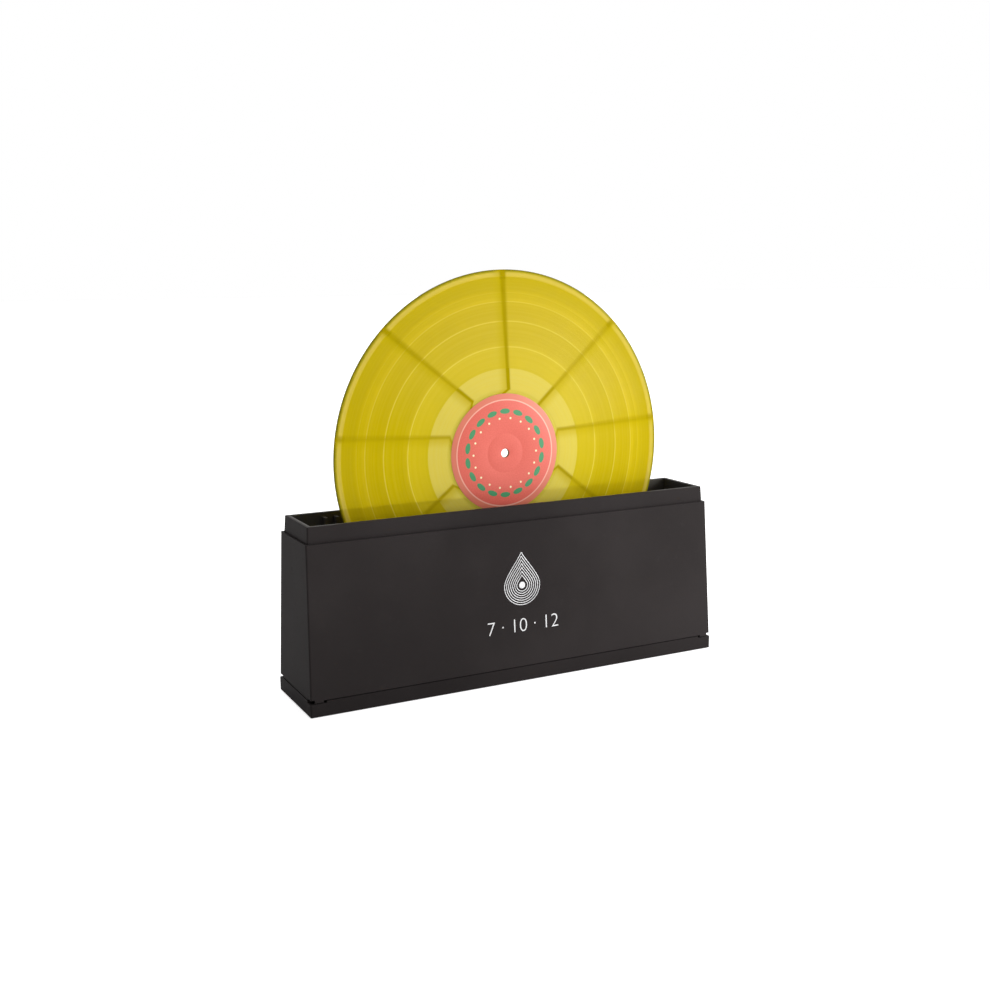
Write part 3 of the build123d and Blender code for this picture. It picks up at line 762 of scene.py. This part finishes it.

# Painted reflection: eight darker streaks drawn into the vinyl's colour, bent at their inner ends.
streaks = (
    (93.3, -0.00685, 1, 1, 1.4), (141.8, -0.0166, 1, 1, 1.05), (177.2, -0.0143, 1, 1, 0.75),
    (-140.8, -0.012, 1, 1, 1.0), (-89.0, 0.001, -1, 1, 1.2), (-39.2, 0.0207, -1, 1, 1.0),
    (3.2, 0.0138, -1, 1, 0.8), (43.2, 0.0064, -1, 0, 1.0),
)
streak_edge, streak_taper = 0.0030, 0.0012
streak_depth, grooved_loss = 0.95, 0.33
bend_radius, bend_slope = 0.0534, 1.5
bend = (bend_radius - radius).math("MAXIMUM", 0) * bend_slope
narrowing = radius.rises(0.15, 0.05) * -streak_taper + streak_edge
grooved = (radius > groove_bands[0][0]) * (radius < groove_bands[-1][1])
core, wing = 0.0, 0.0
for bearing, offset, side, hooked, depth in streaks:
    along = vinyl_x * cos(radians(bearing)) + up * sin(radians(bearing))
    across = (up * cos(radians(bearing)) - vinyl_x * sin(radians(bearing)) - offset) * side - bend * hooked
    outward = along > 0.02
    core = core + (abs(across) / narrowing).rises(1.4, 0.2) * outward * depth
    # Painted shade: a soft darker band on one side of each streak.
    wing = wing + (across / streak_edge).rises(3.5, 0.4) * (across > 0) * outward
with_painted_shade = vinyl.mixed(wing * 0.6, with_gaps, (0.56, 0.44, 0.001, 1))
painted_reflection_streaks = (core * (grooved * -grooved_loss + streak_depth)).math("MINIMUM", 1)
vinyl.vary("Base Color", vinyl.mixed(painted_reflection_streaks, with_painted_shade, (0.42, 0.323, 0.0008, 1)))
vinyl.vary("Roughness", groove_tone * 0.08 + 0.03)
groove_pitch = 0.00035
grooves = (radius * (2 * pi / groove_pitch)).math("SINE") * grooved
vinyl.relief(grooves * 0.3 + groove_tone, 0.00004)
closed(record, vinyl.material, smooth=24)
belongs(record, "record", "record", "record_disc")

# ---- Labels -------------------------------------------------------------------------------------
# A coral paper label pressed into each side, with a pale ring near its edge, the press's ring round
# the hole, and a printed border of green leaves and cream dots.

label_outline = (
    (0.0038, 0.00105), (0.0498, 0.00105), (0.0498, 0.00114), (0.0496, 0.0012), (0.0172, 0.0012),
    (0.0168, 0.00115), (0.0162, 0.00115), (0.0158, 0.0012), (0.0041, 0.0012), (0.0038, 0.00116),
)
rear_label = turned("rear_label_paper", label_outline, record_centre, 192)

paper = Finish("label_paper", Specular_IOR_Level=0.35)
paper_x, _, paper_z = paper.axes(paper.position)
paper_up = paper_z - record_z
paper_radius = (paper_x * paper_x + paper_up * paper_up).math("SQRT")
paper_angle = paper_up.math("ARCTAN2", paper_x)
fibres = paper.noise(900.0, 4.0)
coral = paper.mixed(fibres.rises(0.3, 0.7), (0.62, 0.104, 0.072, 1), (0.67, 0.122, 0.088, 1))
ring_radius = 0.0446
rim_tone = paper.mixed(paper_radius.rises(0.0438, ring_radius), coral, (0.62, 0.165, 0.103, 1))
pale_ring = abs(paper_radius - ring_radius).rises(0.0007, 0.0003)
ringed = paper.mixed(pale_ring * 0.55, rim_tone, (0.86, 0.52, 0.42, 1))
leaf_count, leaf_circle, leaf_half_width = 18, 0.0352, 0.0030
dot_circle, dot_radius = 0.0295, 0.0010
sector = (paper_angle * (leaf_count / (2 * pi))).math("FRACT")
leaf_across = abs(sector - 0.5) * 2
leaf_along = abs(paper_radius - leaf_circle) / leaf_half_width
leaves = (leaf_across * leaf_across + leaf_along * leaf_along).rises(0.62, 0.5)
leafed = paper.mixed(leaves, ringed, (0.045, 0.24, 0.10, 1))
dot_across = (abs(sector - 0.5) - 0.5) * (2 * pi / leaf_count) * paper_radius
dot_along = paper_radius - dot_circle
dots = (dot_across * dot_across + dot_along * dot_along).math("SQRT").rises(dot_radius, 0.0008)
paper.vary("Base Color", paper.mixed(dots, leafed, (0.82, 0.74, 0.46, 1)))
paper.vary("Roughness", fibres * 0.15 + 0.36)
paper.relief(fibres, 0.00002)
closed(rear_label, paper.material, smooth=24)
front_label = copied(rear_label, "front_label_paper", half_turn)
belongs(rear_label, "record", "label", "rear_label")
belongs(front_label, "record", "label", "front_label")

# ---- Floor and light ----------------------------------------------------------------------------
# A white table top that runs out of sight, a wide soft light overhead and a soft box on the right in
# front. The surround glows to the right and behind. The camera sees table top and surround as plain
# white, though what they throw on the machine is dimmer.

floor_size = 30
floor_glow = 0.6
bpy.ops.object.select_all(action="DESELECT")
bpy.ops.mesh.primitive_plane_add(size=floor_size)
floor = bpy.context.object
floor.name = "floor"
white = Finish("floor_white", Specular_IOR_Level=0.1, Emission_Strength=1.0)
white_tone = white.noise(3.0, 2.0)
white.vary("Base Color", white.mixed(white_tone, (0.90, 0.90, 0.90, 1), (0.93, 0.93, 0.93, 1)))
white.vary("Roughness", white_tone * 0.05 + 0.8)
seen = white.node("ShaderNodeLightPath", {}, {}, output="Is Camera Ray")
white.vary("Emission Color", seen * floor_glow)
floor.data.materials.append(white.material)

surround = bpy.data.worlds.new("surround")
surround.use_nodes = True
bpy.context.scene.world = surround
studio = Shading(surround.node_tree)
direction = studio.node("ShaderNodeTexCoord", {}, {}, output="Generated")
direction_x, direction_y, _ = studio.axes(direction)
right_glow, rear_glow, least_glow = 0.7, 0.7, 0.03
glow = direction_x.rises(-1.0, 1.0) * right_glow + direction_y.rises(0.05, 0.8) * rear_glow + least_glow
direct = studio.node("ShaderNodeLightPath", {}, {}, output="Is Camera Ray")
through = studio.node("ShaderNodeLightPath", {}, {}, output="Is Transmission Ray")
brightness = direct.math("MAXIMUM", through) * (1 - glow) + glow
background = surround.node_tree.nodes["Background"]
background.inputs["Color"].default_value = (1, 1, 1, 1)
studio.tree.links.new(brightness.socket, background.inputs["Strength"])

bpy.ops.object.light_add(type="SUN", location=(0, 0, 3))
overhead = bpy.context.object
overhead.name = "overhead"
overhead.data.energy = 1.25
overhead.data.angle = radians(70)

bpy.ops.object.light_add(type="AREA", location=(0.8, -0.6, 0.35))
right_front = bpy.context.object
right_front.name = "right_front"
right_front.data.size = 0.4
right_front.data.energy = 10
lit_point = Vector((0.1, 0, 0.12))
aim = lit_point - right_front.location
right_front.rotation_euler = aim.to_track_quat("-Z", "Y").to_euler()

bpy.context.scene.view_settings.view_transform = "Standard"
